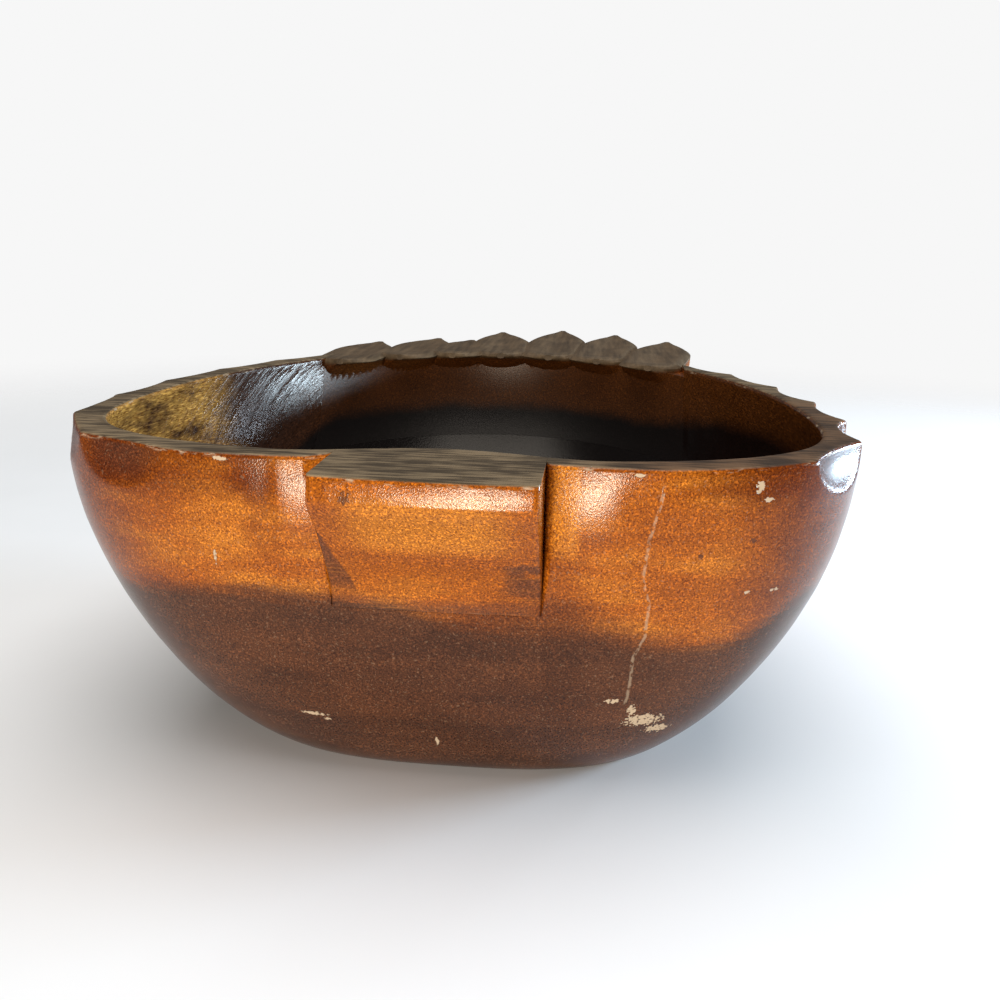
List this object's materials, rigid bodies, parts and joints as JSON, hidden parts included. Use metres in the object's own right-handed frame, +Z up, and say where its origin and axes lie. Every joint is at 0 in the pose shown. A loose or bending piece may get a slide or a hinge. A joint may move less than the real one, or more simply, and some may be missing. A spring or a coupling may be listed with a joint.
{
  "type": "pineapple-shaped wooden bowl",
  "caption": "Carved wooden serving bowl in the outline of a pineapple, with a flat scalloped rim, a stem block let into one end and a fan of leaves let into the other.",
  "frame": {"origin": "middle of the whole outline seen from above, on the surface that the bowl stands on", "axes": "+X to the right and +Y from the stem towards the crown, seen from the stem end; +Z up"},
  "size_m": [0.24, 0.3638, 0.1],
  "materials": {
    "bowl_wood": "glossy varnish over two-tone brown wood",
    "stem_wood": "glossy varnish over orange-brown wood",
    "crown_wood": "worn satin varnish over grey-brown wood",
    "dowel_wood": "bare turned wood"
  },
  "bodies": {
    "root": {"bowl_body": "bowl_wood", "stem_block": "stem_wood", "crown": "crown_wood", "stem_dowel_left": "dowel_wood", "stem_dowel_right": "dowel_wood", "crown_dowel_left": "dowel_wood", "crown_dowel_middle": "dowel_wood", "crown_dowel_right": "dowel_wood"}
  },
  "joints": []
}
